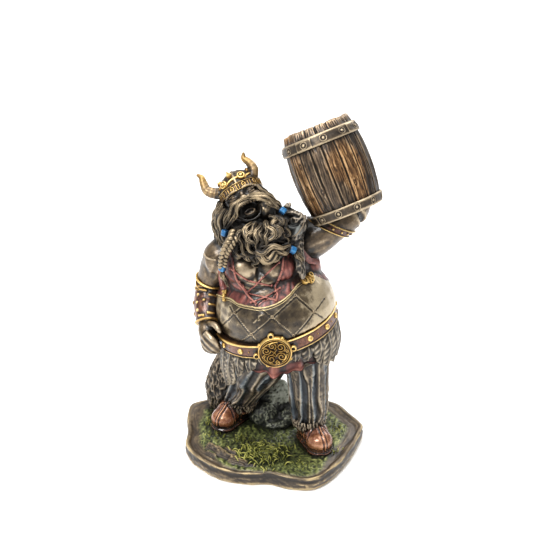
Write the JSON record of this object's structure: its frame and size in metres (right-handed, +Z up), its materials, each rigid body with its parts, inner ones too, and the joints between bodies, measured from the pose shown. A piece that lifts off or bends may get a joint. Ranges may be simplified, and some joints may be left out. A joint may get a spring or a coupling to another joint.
{
  "type": "viking warrior statuette",
  "caption": "Cast figurine of a stout bearded viking in a horned helmet, head thrown back, an open cask raised on one arm, standing on rough grassy ground.",
  "frame": {"origin": "the middle of the ground slab's flat underside", "axes": "+Z up, the figure faces -Y, +X towards the raised arm with the cask"},
  "size_m": [0.0875, 0.0681, 0.1599],
  "materials": {
    "cast_bronze": "antiqued cold-cast bronze, dark in the hollows and rubbed bright on the ridges",
    "painted_gold": "rubbed gold paint",
    "painted_cloth": "dull red and grey-blue paint over bronze",
    "painted_leather": "glossy red-brown paint over bronze",
    "painted_wood": "brown wood-grain paint with coppery ridges",
    "painted_turf": "dark green turf paint over bronze",
    "painted_bead": "bright blue paint"
  },
  "bodies": {
    "root": {"viking_statue": "cast_bronze"}
  },
  "joints": []
}
